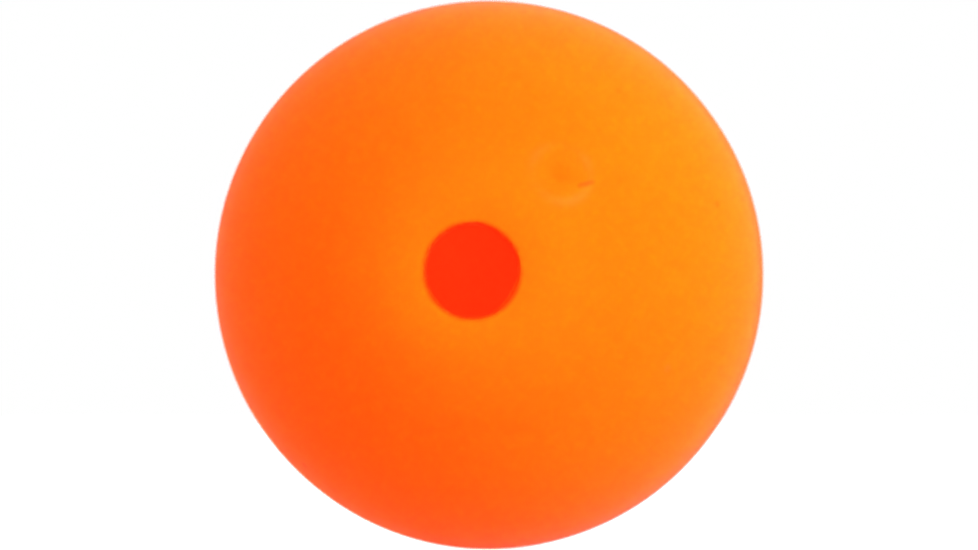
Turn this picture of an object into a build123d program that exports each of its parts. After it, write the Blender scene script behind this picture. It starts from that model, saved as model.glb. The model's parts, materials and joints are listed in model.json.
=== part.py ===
from build123d import *
import math
import os

# A hollow table tennis ball: two moulded half shells, lapped and cemented together round
# the equator, with one round hole punched through the pole of the front shell.
# Units are millimetres. The origin is the centre of the ball and +Z is up. The hole faces
# -Y, and the seam lies in the XZ plane.

# Driving dimensions
ball_radius = 20.0
wall = 0.51
hole_radius = 3.3
land_radius = 4.1  # outer edge of the flat ring pressed in round the hole
land_distance = 19.26  # from the ball's centre to that flat ring
hole_edge_round = 0.2
cement_gap = 0.08
lip_wall = 0.3
lip_reach = 1.2  # how far the rear shell's lip passes the seam plane
lip_shoulder = 0.5  # where the rear shell's thicker band begins, behind the seam plane
lip_root = 1.6  # where that band has blended back into the plain wall
lip_lead = 0.12  # chamfer that guides the lip into the front shell
bead_length = 0.25  # cement squeezed out past the end of the lip
bead_hollow = 0.04  # how far the bead's free surface curves in
gate_radius = 2.05
gate_stub_radius = 0.55
gate_depth = 0.06
gate_polar = 28.0  # degrees from a shell's own pole to its gate mark
gate_clock = 42.0  # degrees round the hole axis, from +Z towards +X

# Derived dimensions
inner_radius = ball_radius - wall
half_gap = cement_gap / 2
lip_outer_radius = inner_radius - cement_gap
lip_inner_radius = lip_outer_radius - lip_wall
front, rear = -1, 1

# Every outline below is half of a cross-section in the XY plane, revolved about the Y axis.
centre = (0, 0)

# The bend between the sphere and the flat ring touches both of them.
bend_radius = (ball_radius**2 - land_distance**2 - land_radius**2) / (
    2 * (ball_radius - land_distance)
)
bend_centre = (land_radius, bend_radius - land_distance)
bend_angle = math.degrees(math.atan2(land_radius, land_distance - bend_radius))


def on_sphere(radius, y):
    """The point of an outline where a sphere of this radius is at height y."""
    return (math.sqrt(radius**2 - y**2), y)


def latitude(radius, y):
    """The angle, in degrees from the seam plane, of a sphere's surface at height y."""
    return math.degrees(math.asin(y / radius))


def sphere_arc(radius, y_from, y_to):
    """The arc of a sphere's outline between two heights."""
    start = latitude(radius, y_from)
    CenterArc(centre, radius, start, latitude(radius, y_to) - start)


def pressed_front_arcs(depth):
    """The front shell's outline from the hole to the seam, at this depth below its skin."""
    Line((hole_radius, depth - land_distance), (land_radius, depth - land_distance))
    CenterArc(bend_centre, bend_radius - depth, -90, bend_angle)
    skin = ball_radius - depth
    seam_latitude = latitude(skin, -half_gap)
    CenterArc(centre, skin, bend_angle - 90, seam_latitude - (bend_angle - 90))


def gate_direction(side):
    """Unit vector from the ball's centre to the gate mark of the front or rear shell."""
    polar, clock = math.radians(gate_polar), math.radians(gate_clock)
    return Vector(
        math.sin(polar) * math.sin(clock),
        math.cos(polar) * side,
        math.sin(polar) * math.cos(clock),
    )


def gate_plane(side):
    """A plane through the ball's centre whose own Y axis points at the gate mark."""
    across = gate_direction(side).cross(Vector(0, 1, 0)).normalized()
    return Plane((0, 0, 0), x_dir=across, z_dir=across.cross(gate_direction(side)))


def gate_recess_outline():
    """Half of the ring-shaped recess round the gate stub, drawn about the plane's Y axis."""
    floor_radius = ball_radius - gate_depth
    outer = math.degrees(math.asin(gate_radius / floor_radius))
    inner = math.degrees(math.asin(gate_stub_radius / floor_radius))
    floor = CenterArc(centre, floor_radius, 90 - outer, outer - inner)
    above = ball_radius + gate_depth
    Polyline(floor @ 0, (gate_radius, above), (gate_stub_radius, above), floor @ 1)


# Front half shell, with the hole
with BuildPart() as front_half_shell:
    with BuildSketch(Plane.XY) as front_section:
        with BuildLine() as front_outline:
            pressed_front_arcs(0)
            pressed_front_arcs(wall)
            Line((hole_radius, -land_distance), (hole_radius, wall - land_distance))
            Line(on_sphere(inner_radius, -half_gap), on_sphere(ball_radius, -half_gap))
        make_face()
    revolve(axis=Axis.Y)
    hole_wall = front_half_shell.faces().filter_by(GeomType.CYLINDER)[0]
    fillet(hole_wall.edges().filter_by(GeomType.CIRCLE).sort_by(Axis.Y)[0], hole_edge_round)
    with BuildSketch(gate_plane(front)) as front_gate_section:
        with BuildLine() as front_gate_outline:
            gate_recess_outline()
        make_face()
    revolve(axis=Axis((0, 0, 0), gate_direction(front)), mode=Mode.SUBTRACT)
front_half_shell.part.label = "front_half_shell"
front_half_shell.part.color = Color(1.0, 0.45, 0.1)

# Rear half shell, with the lip that laps inside the front shell
with BuildPart() as rear_half_shell:
    with BuildSketch(Plane.XY) as rear_section:
        with BuildLine() as rear_outline:
            sphere_arc(ball_radius, half_gap, ball_radius)
            Line((0, ball_radius), (0, inner_radius))
            sphere_arc(inner_radius, inner_radius, lip_root)
            Line(on_sphere(inner_radius, lip_root), on_sphere(lip_inner_radius, lip_shoulder))
            sphere_arc(lip_inner_radius, lip_shoulder, -lip_reach)
            lip_end = on_sphere(lip_outer_radius, -lip_reach)
            lead_start = (lip_end[0] - lip_lead, -lip_reach)
            lead_end = on_sphere(lip_outer_radius, lip_lead - lip_reach)
            Line(on_sphere(lip_inner_radius, -lip_reach), lead_start)
            Line(lead_start, lead_end)
            sphere_arc(lip_outer_radius, lip_lead - lip_reach, half_gap)
            Line(on_sphere(lip_outer_radius, half_gap), on_sphere(ball_radius, half_gap))
        make_face()
    revolve(axis=Axis.Y)
    with BuildSketch(gate_plane(rear)) as rear_gate_section:
        with BuildLine() as rear_gate_outline:
            gate_recess_outline()
        make_face()
    revolve(axis=Axis((0, 0, 0), gate_direction(rear)), mode=Mode.SUBTRACT)
rear_half_shell.part.label = "rear_half_shell"
rear_half_shell.part.color = Color(0.95, 0.35, 0.05)

# Cement: the butt joint that shows as the seam line, the film in the lap, and the bead
# squeezed out inside the front shell at the lip's end
with BuildPart() as seam_cement:
    with BuildSketch(Plane.XY) as cement_section:
        with BuildLine() as cement_outline:
            sphere_arc(ball_radius, -half_gap, half_gap)
            Line(on_sphere(ball_radius, half_gap), on_sphere(lip_outer_radius, half_gap))
            sphere_arc(lip_outer_radius, half_gap, lip_lead - lip_reach)
            Line(lead_end, lead_start)
            bead_toe = on_sphere(inner_radius, -lip_reach - bead_length)
            SagittaArc(lead_start, bead_toe, bead_hollow)
            sphere_arc(inner_radius, -lip_reach - bead_length, -half_gap)
            Line(on_sphere(inner_radius, -half_gap), on_sphere(ball_radius, -half_gap))
        make_face()
    revolve(axis=Axis.Y)
seam_cement.part.label = "seam_cement"
seam_cement.part.color = Color(0.95, 0.75, 0.45)

os.makedirs("parts", exist_ok=True)
for piece in (front_half_shell, rear_half_shell, seam_cement):
    export_step(piece.part, f"parts/{piece.part.label}.step")
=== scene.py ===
import json
import math

import bpy
import numpy as np
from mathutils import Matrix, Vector


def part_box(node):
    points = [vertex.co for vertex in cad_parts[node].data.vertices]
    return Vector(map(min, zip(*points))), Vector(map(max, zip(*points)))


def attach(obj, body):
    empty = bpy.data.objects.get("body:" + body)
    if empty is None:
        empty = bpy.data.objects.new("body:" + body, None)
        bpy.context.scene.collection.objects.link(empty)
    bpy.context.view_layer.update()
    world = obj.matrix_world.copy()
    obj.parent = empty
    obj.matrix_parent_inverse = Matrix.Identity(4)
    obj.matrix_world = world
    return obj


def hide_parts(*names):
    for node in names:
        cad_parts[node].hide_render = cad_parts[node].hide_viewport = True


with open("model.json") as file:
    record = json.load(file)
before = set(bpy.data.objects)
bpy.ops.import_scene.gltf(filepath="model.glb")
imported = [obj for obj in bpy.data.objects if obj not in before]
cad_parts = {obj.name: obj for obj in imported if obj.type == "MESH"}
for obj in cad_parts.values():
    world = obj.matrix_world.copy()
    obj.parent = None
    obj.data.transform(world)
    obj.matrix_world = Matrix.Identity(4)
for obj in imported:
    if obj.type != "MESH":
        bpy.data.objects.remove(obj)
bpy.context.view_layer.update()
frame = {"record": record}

# Looks for the hollow table tennis ball. Shapes are worked out in millimetres in the frame's
# axes and scaled to metres when a mesh is made. The hole faces -Y. Each piece is a surface of
# revolution about the Y axis, with its moulding marks and wear added as relief on the skin.

MM = 0.001
mounts = {mount["name"]: mount for mount in frame["record"]["mounts"]}

# ------------------------------------------------------- dimensions read from the frame, mm

ball_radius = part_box("rear_half_shell")[1].y / MM
land_distance = -mounts["hole_land"]["pos_m"][1] / MM
hole_radius = mounts["hole"]["dims"]["r_mm"]
half_gap = -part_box("front_half_shell")[1].y / MM
lip_reach = -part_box("rear_half_shell")[0].y / MM
bead_end = -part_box("seam_cement")[0].y / MM

# ------------------------------------------------------------------ finer dimensions, mm

hole_edge_round = 0.2
wall = mounts["hole"]["dims"]["length_mm"] + hole_edge_round
land_radius = 4.1
lip_clearance = 0.08
lip_wall = 0.3
lip_shoulder = 0.5
lip_root = 1.6
lip_lead = 0.12
seam_edge_round = 0.03
cement_clearance = 0.002  # keeps the cement's hidden faces off the shells
cement_sink = 0.006  # how far the cement has shrunk back in the seam line
cement_unevenness = 0.0015
bead_hollow = 0.12  # how far the bead's middle is drawn in from halfway to the shell

# The gate mark is at the same place on each shell as on the CAD pieces: degrees from the
# shell's own pole, and degrees round the Y axis from +Z towards +X.
gate_polar = 28.0
gate_clock = 42.0
gate_well_floor = 1.3  # the well's wall rises from this radius to the next one
gate_well_edge = 2.05
gate_well_depth = 0.03
gate_rim = 2.17  # radius of the low ridge thrown up round the well
gate_rim_height = 0.012
gate_stub_height = 0.02
gate_pit_depth = 0.03  # the two pits in the broken-off stub
nick_place = (1.8, -0.66)  # of the nick's middle, right of and above the front gate's centre
nick_half_length = 0.72
nick_tilt = 20.0
nick_depth = 0.06
waviness = 0.006  # how far each of the slow waves puts the ball out of round

# Mesh density: rings are this many degrees apart, closer together in the gate mark's band.
segments = 480
coarse_step = 1.25
fine_step = 0.3
bend_step = 0.9
inside_step = 2.5
pole_opening = 0.6  # half angle of the fan that closes the rear pole
gate_reach = 6.4  # degrees from the gate's centre to the edge of the fine band
fine_band = (gate_polar - gate_reach, gate_polar + gate_reach)

inner_radius = ball_radius - wall
lip_outer_radius = inner_radius - lip_clearance
lip_inner_radius = lip_outer_radius - lip_wall
bend_radius = (ball_radius**2 - land_distance**2 - land_radius**2) / (
    2 * (ball_radius - land_distance)
)
bend_angle = math.degrees(math.atan2(land_radius, land_distance - bend_radius))
front, rear = -1, 1


# ------------------------------------------------------------------------------ outlines
# An outline is a run of points (distance from the Y axis, y).


def arc(radius, start, end, step=None, count=None, middle=(0.0, 0.0)):
    """Points on an arc. Angles are in degrees from -Y, and the rings are step degrees apart."""
    count = count or max(2, round(abs(end - start) / step) + 1)
    angle = np.radians(np.linspace(start, end, count))
    return np.column_stack([np.sin(angle), -np.cos(angle)]) * radius + middle


def straight(*corners):
    """Points along straight lines through these corners."""
    return np.array(corners, float)


def on_sphere(radius, y):
    """The outline point where a sphere about the ball's centre is at height y."""
    return (math.sqrt(radius**2 - y**2), y)


def polar_of(radius, y):
    """The angle from -Y, in degrees, where a sphere about the ball's centre is at height y."""
    return math.degrees(math.acos(-y / radius))


def join(*runs):
    """Runs joined end to end, without the points that repeat."""
    points = np.vstack(runs)
    gaps = np.linalg.norm(np.diff(points, axis=0), axis=1)
    return points[np.append(True, gaps > 1e-5)]


def skin_arc(start):
    """The outside of a shell from this angle to the rounded seam edge, for the -Y side."""
    seam = polar_of(ball_radius - seam_edge_round, -half_gap - seam_edge_round)
    corner = on_sphere(ball_radius - seam_edge_round, -half_gap - seam_edge_round)
    return join(
        arc(ball_radius, start, fine_band[0], coarse_step),
        arc(ball_radius, *fine_band, fine_step),
        arc(ball_radius, fine_band[1], seam, coarse_step),
        arc(seam_edge_round, 90, 180, count=4, middle=corner),
    )


def front_outline():
    """Skin from the hole's edge to the seam, then the inside from the seam to the hole."""
    bend_middle = (land_radius, bend_radius - land_distance)
    land_start = hole_radius + hole_edge_round
    edge_middle = (land_start, hole_edge_round - land_distance)
    skin = join(
        arc(hole_edge_round, -90, 0, count=8, middle=edge_middle),
        straight((land_start, -land_distance), (land_radius, -land_distance)),
        arc(bend_radius, 0, bend_angle, bend_step, middle=bend_middle),
        skin_arc(bend_angle),
    )
    inside = join(
        arc(inner_radius, polar_of(inner_radius, -half_gap), bend_angle, inside_step),
        arc(bend_radius - wall, bend_angle, 0, inside_step, middle=bend_middle),
        straight((land_radius, wall - land_distance), (hole_radius, wall - land_distance)),
    )
    return skin, inside


def rear_outline():
    """Skin from the rear pole to the seam, then the lip and the inside back to the pole."""
    skin = skin_arc(pole_opening) * (1, -1)
    lip_end = on_sphere(lip_outer_radius, -lip_reach)
    inside = join(
        straight(
            on_sphere(lip_outer_radius, half_gap),
            on_sphere(lip_outer_radius, lip_lead - lip_reach),
            (lip_end[0] - lip_lead, -lip_reach),
            on_sphere(lip_inner_radius, -lip_reach),
            on_sphere(lip_inner_radius, lip_shoulder),
            on_sphere(inner_radius, lip_root),
        ),
        arc(inner_radius, polar_of(inner_radius, lip_root), 180 - pole_opening, inside_step),
    )
    return skin, inside


def cement_outline():
    """The seam line's surface, then the film in the lap and the bead inside the shell."""
    sunk = ball_radius - cement_sink
    film_in = lip_outer_radius + cement_clearance
    film_out = inner_radius - cement_clearance
    gap = half_gap - cement_clearance
    lip_end = on_sphere(lip_outer_radius, -lip_reach)
    skin = arc(sunk, polar_of(sunk, -gap), polar_of(sunk, gap), count=4)
    inside = straight(
        on_sphere(film_in, gap),
        on_sphere(film_in, lip_lead - lip_reach),
        (lip_end[0] - lip_lead, -lip_reach - cement_clearance),
        ((lip_end[0] + film_out) / 2 - bead_hollow, -(lip_reach + bead_end) / 2),
        on_sphere(film_out, -bead_end),
        on_sphere(film_out, -gap),
    )
    return skin, inside


# -------------------------------------------------------------------------- surface relief


def smooth_step(value, low, high):
    """0 below low, 1 above high, and a smooth rise between."""
    share = np.clip((value - low) / (high - low), 0, 1)
    return share * share * (3 - 2 * share)


def bump(value, middle, width):
    """A smooth hump of height 1 and this half-width."""
    return np.exp(-(((value - middle) / width) ** 2))


def unit_vectors(points):
    """The directions of these points from the ball's centre."""
    return points / np.linalg.norm(points, axis=1, keepdims=True)


def raised(points, height):
    """Points moved away from the ball's centre, each by its own height."""
    return points + unit_vectors(points) * height[:, None]


def gate_frame(side):
    """The gate mark's direction, and the tangents that lead away from the pole and round it."""
    polar, clock = math.radians(gate_polar), math.radians(gate_clock)
    around = np.array([math.sin(clock), 0, math.cos(clock)])
    pole = np.array([0, side, 0])
    direction = math.cos(polar) * pole + math.sin(polar) * around
    outward = math.cos(polar) * around - math.sin(polar) * pole
    clockwise = np.array([math.cos(clock), 0, -math.sin(clock)])
    return direction, outward, clockwise


def gate_places(points, side):
    """For points of a skin: distance from the gate's centre, and the clock angle about it."""
    direction, outward, clockwise = gate_frame(side)
    unit = unit_vectors(points)
    distance = ball_radius * np.arccos(np.clip(unit @ direction, -1, 1))
    clock = gate_clock + np.degrees(np.arctan2(unit @ clockwise, unit @ outward))
    return distance, clock


def across_gate(distance, clock):
    """The same places as distances to the right of the gate's centre and above it."""
    angle = np.radians(clock)
    return distance * np.sin(angle), distance * np.cos(angle)


def clock_lobe(clock, middle, width):
    """A hump round the clock face, so it also works across 12 o'clock."""
    return bump((clock - middle + 180) % 360 - 180, 0, width)


def rim_strength(clock):
    """How strongly the gate's rim stands up and how white it is, round the clock."""
    return (
        0.05
        + 0.45 * clock_lobe(clock, 160, 52)
        + 0.3 * clock_lobe(clock, 62, 18)
        + 0.25 * clock_lobe(clock, 310, 30)
    )


def gate_relief(points, side):
    """Height of the gate mark: a shallow dished well, a raised rim and the broken-off stub."""
    distance, clock = gate_places(points, side)
    well = 1 - smooth_step(distance, gate_well_floor, gate_well_edge)
    rim = rim_strength(clock) * bump(distance, gate_rim, 0.28)
    stub = 1 - smooth_step(distance, 0.4, 0.7)
    right, above = across_gate(distance, clock)
    pits = sum(bump(np.hypot(right + 0.12, above - pit), 0, 0.2) for pit in (0.2, -0.22))
    return (
        gate_rim_height * rim
        + gate_stub_height * stub
        - gate_well_depth * well
        - gate_pit_depth * pits
    )


def nick_share(points):
    """1 in the small nick across the front gate's rim, fading to 0 at its edge."""
    right, above = across_gate(*gate_places(points, front))
    right = right - nick_place[0]
    above = above - nick_place[1]
    tilt = math.radians(nick_tilt)
    along = right * math.cos(tilt) + above * math.sin(tilt)
    across = above * math.cos(tilt) - right * math.sin(tilt)
    taper = np.sqrt(np.clip(1 - (along / nick_half_length) ** 2, 0, 1))
    return taper * (1 - smooth_step(np.abs(across), 0.04, 0.18))


def slow_waves(points):
    """The ball is out of round by up to two hundredths of a millimetre."""
    x, y, z = (points / ball_radius).T
    waves = np.sin(7 * x + 3 * z) + np.sin(5 * y - 6 * z + 1) + np.sin(9 * z - 4 * x + 2)
    return waviness * waves


def ragged_hole(points):
    """Moves the skin near the hole in or out, so that its edge isn't quite round."""
    reach = np.hypot(points[:, 0], points[:, 2])
    turn = np.arctan2(points[:, 0], points[:, 2])
    waves = ((7, 0.008, 2.1), (13, 0.008, 4.0), (29, 0.006, 1.0))
    outward = sum(size * np.sin(count * turn + shift) for count, size, shift in waves)
    dents = ((5, 12, 0.06), (43, 9, -0.07), (66, 9, 0.02), (120, 28, -0.15), (240, 18, -0.04))
    for clock, width, size in dents:
        outward += size * clock_lobe(np.degrees(turn), clock, width)
    outward *= 1 - smooth_step(reach, hole_radius + 0.1, land_radius)
    moved = points.copy()
    moved[:, [0, 2]] *= (1 + outward / reach)[:, None]
    return moved


# ---------------------------------------------------------------------------- mesh making


def revolve(outline, closed):
    """Points and quads of an outline turned about the Y axis; a closed one joins up."""
    turn = np.linspace(0, 2 * math.pi, segments, endpoint=False)
    around = np.column_stack([np.sin(turn), np.zeros(segments), np.cos(turn)])
    points = outline[:, :1, None] * around + [0, 1, 0] * outline[:, 1:, None]
    here = np.arange(len(outline) * segments).reshape(len(outline), segments)
    if closed:
        here = np.vstack([here, here[:1]])
    beside = np.roll(here, -1, axis=1)
    quads = np.stack([here[:-1], here[1:], beside[1:], beside[:-1]], axis=-1)
    x, y = outline.T
    if np.sum(x * np.roll(y, -1) - y * np.roll(x, -1)) > 0:
        quads = quads[..., ::-1]  # an outline that runs anticlockwise would face inwards
    return points.reshape(-1, 3), quads.reshape(-1, 4).tolist()


def make_piece(name, skin, inside, shape_skin, materials, closed=True):
    """A closed piece from its skin and inside outlines; a solid pole is closed by a fan."""
    points, faces = revolve(np.vstack([skin, inside]), closed)
    skin_count = len(skin) * segments
    points[:skin_count] = shape_skin(points[:skin_count])
    inside_start = (len(skin) - 1) * segments
    slots = [int(number >= inside_start) for number in range(len(faces))]
    if not closed:
        last = len(points) - segments
        poles = [[0, ball_radius, 0], [0, inner_radius, 0]]
        points = np.vstack([points, poles])
        for step in range(segments):
            beside = (step + 1) % segments
            faces.append((step, beside, len(points) - 2))
            faces.append((last + beside, last + step, len(points) - 1))
            slots += [0, 1]
    mesh = bpy.data.meshes.new(name)
    mesh.from_pydata((points * MM).tolist(), [], faces)
    mesh.polygons.foreach_set("material_index", slots)
    mesh.polygons.foreach_set("use_smooth", [True] * len(faces))
    for material in materials:
        mesh.materials.append(material)
    mesh.update()
    mesh.set_sharp_from_angle(angle=math.radians(40))
    piece = bpy.data.objects.new(name, mesh)
    bpy.context.scene.collection.objects.link(piece)
    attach(piece, "root")
    return piece


def store_marks(piece, name, values):
    """Keeps a number for each vertex, for the material to read."""
    attribute = piece.data.attributes.new(name, "FLOAT", "POINT")
    attribute.data.foreach_set("value", values.astype(np.float32))


def mark_gate(piece, side, whitening_and_highlight, nicked):
    """Stores how white, how dark and how nicked the skin is round the gate mark."""
    points = np.empty(len(piece.data.vertices) * 3)
    piece.data.vertices.foreach_get("co", points)
    points = points.reshape(-1, 3) / MM
    distance, clock = gate_places(points, side)
    on_skin = np.linalg.norm(points, axis=1) > inner_radius + wall / 2
    rim = bump(distance, gate_rim, 0.34) * rim_strength(clock)
    store_marks(piece, "whitened_and_lit", on_skin * whitening_and_highlight * rim)
    stub = 1 - smooth_step(distance, 0.3, 1.1)
    store_marks(piece, "stub", on_skin * stub)
    store_marks(piece, "nick", on_skin * nicked * nick_share(points))


# ------------------------------------------------------------------------------ materials

shell_scatter = (8.0, 2.2, 1.5)  # how far red, green and blue light travel in the plastic, mm
shell_shine = 0.09

# Cycles follows light through one wall only. The lap is three walls thick, so there the skin
# reflects all its light, and the inside has a painted glow for the light coming through
# elsewhere.
lap_band = (1.4, 4.5)
painted_lap_glow = (1.0, 0.09, 0.012, 1)

# Sizes of the lumps in each texture, mm
mottle_size = 0.9
scuff_size = 2.5
grain_size = 0.11
pebble_size = 0.35
cloud_size = 6.0
ripple_size = 1.2
streak_size = 0.8

# Specks in the skin: degrees from -Y, clock angle from +Z towards +X, radius in mm and colour
specks = (
    (71.9, -136.7, 0.35, (0.97, 0.1, 0.004, 1)),
    (62.3, 73.7, 0.45, (0.98, 0.126, 0.005, 1)),
    (55.2, 37.7, 0.4, (0.99, 0.133, 0.006, 1)),
    (65.9, 91.0, 0.3, (0.99, 0.13, 0.006, 1)),
    (49.5, 116.8, 0.45, (0.99, 0.145, 0.02, 1)),
)


class Nodes:
    """Short calls for building one material's node tree."""

    def __init__(self, name):
        self.material = bpy.data.materials.new(name)
        self.material.use_nodes = True
        self.tree = self.material.node_tree
        self.shader = self.tree.nodes["Principled BSDF"]

    def add(self, kind, settings=None, **inputs):
        """A node with these settings, and with inputs that are values or other sockets."""
        node = self.tree.nodes.new("ShaderNode" + kind)
        for key, value in (settings or {}).items():
            setattr(node, key, value)
        self.feed(node, {key.replace("_", " "): value for key, value in inputs.items()})
        return node

    def feed(self, node, inputs):
        """Sets or links a node's inputs."""
        for key, value in inputs.items():
            if isinstance(value, bpy.types.NodeSocket):
                self.tree.links.new(value, node.inputs[key])
            else:
                node.inputs[key].default_value = value

    def math(self, operation, first, second=0.0):
        """One arithmetic step."""
        node = self.add("Math", {"operation": operation})
        self.feed(node, {0: first, 1: second})
        return node.outputs[0]

    def between(self, value, low, high):
        """A value from 0 to 1, stretched to go from low to high."""
        return self.math("ADD", self.math("MULTIPLY", value, high - low), low)

    def mix(self, share, start, end):
        """A colour between two colours."""
        node = self.add("Mix", {"data_type": "RGBA"})
        self.feed(node, {0: share, 6: start, 7: end})
        return node.outputs[2]

    def fade(self, value, start, end, low=1.0, high=0.0):
        """Goes smoothly from low to high as value goes from start to end."""
        node = self.add("MapRange", {"interpolation_type": "SMOOTHSTEP"})
        self.feed(node, {0: value, 1: start, 2: end, 3: low, 4: high})
        return node.outputs[0]

    def noise(self, place, size, detail=2.0):
        """Noise with lumps about size mm across."""
        node = self.add("TexNoise", Vector=place, Scale=1 / size, Detail=detail)
        return node.outputs["Fac"]

    def millimetres(self):
        """The place on the object, in millimetres."""
        place = self.add("TexCoord").outputs["Object"]
        node = self.add("VectorMath", {"operation": "SCALE"})
        self.feed(node, {0: place, "Scale": 1 / MM})
        return node.outputs[0]

    def distance(self, place, point):
        """How far a place is from this point."""
        node = self.add("VectorMath", {"operation": "DISTANCE"})
        self.feed(node, {0: place, 1: point})
        return node.outputs["Value"]

    def off_seam(self, place):
        """How far a place is from the seam plane."""
        return self.math("ABSOLUTE", self.add("SeparateXYZ", Vector=place).outputs["Y"])

    def bumps(self, height, strength, depth):
        """A normal for relief of this depth, in millimetres."""
        node = self.add("Bump", Height=height, Strength=strength, Distance=depth * MM)
        return node.outputs[0]

    def mark(self, name):
        """A number stored on the mesh by store_marks."""
        return self.add("Attribute", {"attribute_name": name}).outputs["Fac"]


def place_on_skin(polar, clock):
    """A point on the ball, from its angle off -Y and its clock angle from +Z towards +X."""
    polar, clock = math.radians(polar), math.radians(clock)
    return (
        ball_radius * math.sin(polar) * math.sin(clock),
        -ball_radius * math.cos(polar),
        ball_radius * math.sin(polar) * math.cos(clock),
    )


def skin_material():
    """Matt translucent ball plastic: blasted texture, mottling, specks and a buffed seam."""
    nodes = Nodes("shell_skin")
    place = nodes.millimetres()
    mottle = nodes.fade(nodes.noise(place, mottle_size, 3.0), 0.3, 0.7, 0.0, 1.0)
    colour = nodes.mix(mottle, (0.99, 0.141, 0.0065, 1), (0.99, 0.145, 0.0075, 1))
    for polar, clock, size, speck_colour in specks:
        off_speck = nodes.distance(place, place_on_skin(polar, clock))
        colour = nodes.mix(nodes.fade(off_speck, size * 0.3, size), colour, speck_colour)
    off_hole = nodes.distance(place, (0, -land_distance, 0))
    # Painted light: the skin is painted lighter and yellower round the hole, fading out by
    # three land radii.
    painted_light_round_hole = nodes.fade(off_hole, land_radius, 3 * land_radius)
    colour = nodes.mix(painted_light_round_hole, colour, (0.99, 0.158, 0.0085, 1))
    # Painted shade: the hole's rounded edge is painted a darker red, which dims the light it
    # catches.
    shaded_hole_edge = nodes.fade(off_hole, hole_radius, hole_radius + 0.4)
    colour = nodes.mix(shaded_hole_edge, colour, (0.97, 0.05, 0.004, 1))
    for mark, strength, mark_colour in (
        # Stress-white plastic on the gate's rim, partly a painted highlight on the arcs where
        # the rim catches the light.
        ("whitened_and_lit", 1.0, (0.99, 0.175, 0.05, 1)),
        ("stub", 0.35, (0.97, 0.11, 0.002, 1)),
        # Painted shade: the nick is painted a darker red, as the shade in its groove.
        ("nick", 0.5, (0.8, 0.06, 0.02, 1)),
    ):
        share = nodes.math("MULTIPLY", nodes.mark(mark), strength)
        colour = nodes.mix(share, colour, mark_colour)
    off_seam = nodes.off_seam(place)
    # Painted shade: in the lap band the skin is painted a touch darker, to even its brightness
    # with the skin beside it.
    colour = nodes.mix(nodes.fade(off_seam, *lap_band), colour, (0.99, 0.14, 0.0065, 1))
    rough = nodes.between(nodes.noise(place, scuff_size, 4.0), 0.5, 0.62)
    buffed = nodes.fade(off_seam, 0.5, 1.1, 0.12, 0.0)
    grain = nodes.noise(place, grain_size)
    pebble = nodes.noise(place, pebble_size)
    relief = nodes.math("ADD", grain, nodes.math("MULTIPLY", pebble, 1.5))
    nodes.feed(
        nodes.shader,
        {
            "Base Color": colour,
            "Roughness": nodes.math("SUBTRACT", rough, buffed),
            "Normal": nodes.bumps(relief, 0.5, 0.002),
            "Specular IOR Level": shell_shine,
            "Sheen Weight": nodes.fade(off_hole, hole_radius, land_radius, 0.0, 0.11),
            "Sheen Tint": (1.0, 0.4, 0.9, 1),
            "Sheen Roughness": 0.4,
            "Subsurface Weight": nodes.fade(off_seam, *lap_band, 0.0, 1.0),
            "Subsurface Radius": shell_scatter,
            "Subsurface Scale": MM,
        },
    )
    return nodes.material


def inside_material():
    """The moulded inside: the same plastic, smoother, and never faded by light or wear."""
    nodes = Nodes("shell_inside")
    place = nodes.millimetres()
    cloud = nodes.noise(place, cloud_size, 3.0)
    ripple = nodes.noise(place, ripple_size)
    off_seam = nodes.off_seam(place)
    nodes.feed(
        nodes.shader,
        {
            "Base Color": nodes.mix(cloud, (0.998, 0.155, 0.045, 1), (0.998, 0.172, 0.063, 1)),
            "Roughness": nodes.between(cloud, 0.4, 0.5),
            "Normal": nodes.bumps(ripple, 0.3, 0.01),
            "Specular IOR Level": shell_shine,
            "Subsurface Weight": nodes.fade(off_seam, *lap_band, 0.0, 1.0),
            "Subsurface Radius": shell_scatter,
            "Subsurface Scale": MM,
            # Painted glow: the inside glows red-orange in the lap band, in place of light
            # coming through the wall.
            "Emission Color": painted_lap_glow,
            "Emission Strength": nodes.fade(off_seam, *lap_band),
        },
    )
    return nodes.material


def cement_material():
    """Dried solvent cement in the seam: duller and a little redder than the skin."""
    nodes = Nodes("seam_cement")
    streaks = nodes.noise(nodes.millimetres(), streak_size, 3.0)
    nodes.feed(
        nodes.shader,
        {
            "Base Color": nodes.mix(streaks, (0.9, 0.11, 0.006, 1), (0.97, 0.15, 0.01, 1)),
            "Roughness": nodes.between(streaks, 0.5, 0.7),
            "Normal": nodes.bumps(streaks, 0.5, 0.01),
            "Specular IOR Level": 0.2,
        },
    )
    return nodes.material


# --------------------------------------------------------------------------------- pieces

skin_look = skin_material()
inside_look = inside_material()
cement_look = cement_material()


def front_skin_shape(points):
    """The front shell's skin with its gate mark, nick, waves and ragged hole edge."""
    nick = nick_depth * nick_share(points)
    return ragged_hole(raised(points, gate_relief(points, front) - nick + slow_waves(points)))


def rear_skin_shape(points):
    """The rear shell's skin with its own gate mark."""
    return raised(points, gate_relief(points, rear) + slow_waves(points))


def cement_skin_shape(points):
    """The cement has shrunk unevenly along the seam."""
    turn = np.arctan2(points[:, 0], points[:, 2])
    waves = np.sin(9 * turn) + np.sin(31 * turn + 1) + np.sin(77 * turn + 2)
    return raised(points, slow_waves(points) + cement_unevenness * waves)


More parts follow.
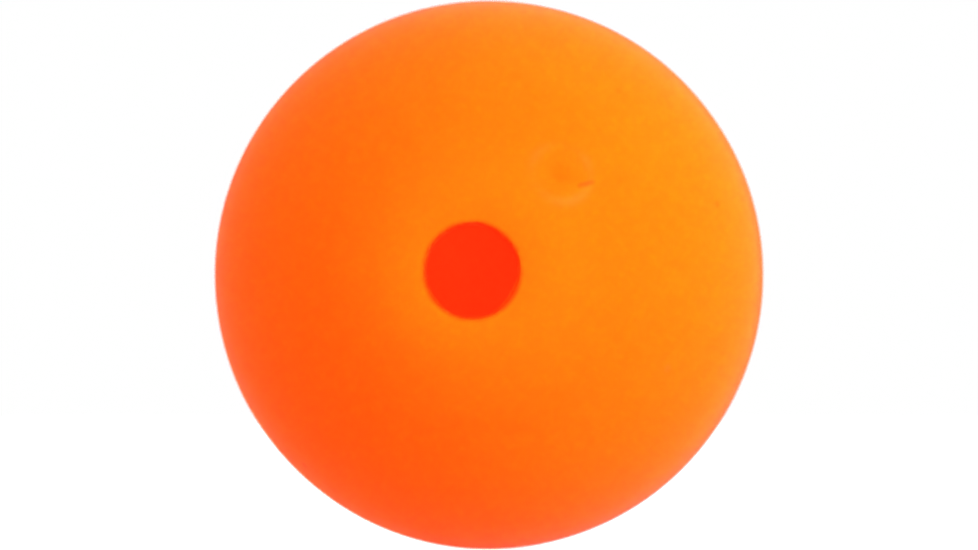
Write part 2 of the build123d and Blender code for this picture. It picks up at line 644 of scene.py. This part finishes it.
front_piece = make_piece(
    "front_shell", *front_outline(), front_skin_shape, [skin_look, inside_look]
)
rear_piece = make_piece(
    "rear_shell", *rear_outline(), rear_skin_shape, [skin_look, inside_look], closed=False
)
cement_piece = make_piece(
    "seam_line", *cement_outline(), cement_skin_shape, [cement_look, inside_look]
)
mark_gate(front_piece, front, whitening_and_highlight=1.0, nicked=1.0)
mark_gate(rear_piece, rear, whitening_and_highlight=0.5, nicked=0.0)
for piece, node, material_slot in (
    (front_piece, "front_half_shell", "shell_plastic"),
    (rear_piece, "rear_half_shell", "shell_plastic"),
    (cement_piece, "seam_cement", "seam_cement"),
):
    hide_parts(node)

# ----------------------------------------------------------- floor, light and the camera

floor_clearance = 0.02  # mm, which keeps the ball's lowest waves off the floor
floor_height = -(ball_radius + floor_clearance) * MM

# Places round the ball, in metres from its centre
floor_half = 3.0
light_distance = 0.7
light_size = 0.5
focus_behind = 0.1  # the camera is focused behind the ball, so all of it is a little soft

# Name, azimuth and elevation in degrees, and power in watts
lights = (
    ("key", 57, 10, 9.4),
    ("fill_front", 15, 10, 7.1),
    ("fill_above", 0, 55, 1.7),
    ("fill_left", -110, 45, 1.3),
)


def make_floor():
    """A plain white light table that the ball rests on."""
    mesh = bpy.data.meshes.new("floor")
    corners = [
        (x * floor_half, y * floor_half, floor_height)
        for x, y in ((-1, -1), (1, -1), (1, 1), (-1, 1))
    ]
    mesh.from_pydata(corners, [], [(0, 1, 2, 3)])
    nodes = Nodes("floor")
    nodes.feed(
        nodes.shader,
        {
            "Base Color": (0.15, 0.15, 0.15, 1),
            "Roughness": 0.9,
            "Specular IOR Level": 0.0,
            "Emission Color": (1, 1, 1, 1),
            "Emission Strength": 1.05,
        },
    )
    mesh.materials.append(nodes.material)
    floor = bpy.data.objects.new("floor", mesh)
    bpy.context.scene.collection.objects.link(floor)


def direction_to(azimuth, elevation):
    """Unit vector from the ball; azimuth 0 is the -Y side and 90 is the +X side."""
    a, e = math.radians(azimuth), math.radians(elevation)
    return Vector((math.sin(a) * math.cos(e), -math.cos(a) * math.cos(e), math.sin(e)))


def place_facing_ball(thing, azimuth, elevation, distance):
    """Puts a camera or light at that distance, looking at the ball's centre."""
    towards = direction_to(azimuth, elevation)
    thing.location = towards * distance
    thing.rotation_mode = "QUATERNION"
    thing.rotation_quaternion = towards.to_track_quat("Z", "Y")
    bpy.context.scene.collection.objects.link(thing)


def add_light(name, azimuth, elevation, power):
    """A square soft box, seen neither by the camera nor in the ball's shine."""
    light = bpy.data.lights.new(name, "AREA")
    light.size = light_size
    light.energy = power
    lamp = bpy.data.objects.new(name, light)
    lamp.visible_camera = False
    lamp.visible_glossy = False
    place_facing_ball(lamp, azimuth, elevation, light_distance)


def set_world(strength):
    """A plain white studio all round."""
    world = bpy.data.worlds.new("studio")
    world.use_nodes = True
    background = world.node_tree.nodes["Background"]
    background.inputs["Color"].default_value = (1, 1, 1, 1)
    background.inputs["Strength"].default_value = strength
    bpy.context.scene.world = world


def add_camera(azimuth, elevation, distance, ball_share_of_width):
    """A long-lens camera that sees the ball this large in the picture, slightly soft."""
    data = bpy.data.cameras.new("camera")
    edge_angle = math.asin(ball_radius * MM / distance)
    data.lens = data.sensor_width * ball_share_of_width / (2 * math.tan(edge_angle))
    data.clip_start = 0.01
    data.dof.use_dof = True
    data.dof.aperture_fstop = 180
    focus = bpy.data.objects.new("focus", None)
    focus.location = direction_to(azimuth, elevation) * -focus_behind
    bpy.context.scene.collection.objects.link(focus)
    data.dof.focus_object = focus
    camera = bpy.data.objects.new("camera", data)
    place_facing_ball(camera, azimuth, elevation, distance)
    bpy.context.scene.camera = camera


make_floor()
for light_settings in lights:
    add_light(*light_settings)
set_world(1.0)
add_camera(azimuth=3.61, elevation=-0.87, distance=0.587, ball_share_of_width=0.5603)

scene = bpy.context.scene
scene.view_settings.view_transform = "Standard"
scene.view_settings.gamma = 0.6  # for the photo's strong contrast

# Light turns many times inside the ball before it comes out through the hole or the wall.
scene.cycles.max_bounces = 48
scene.cycles.diffuse_bounces = 40
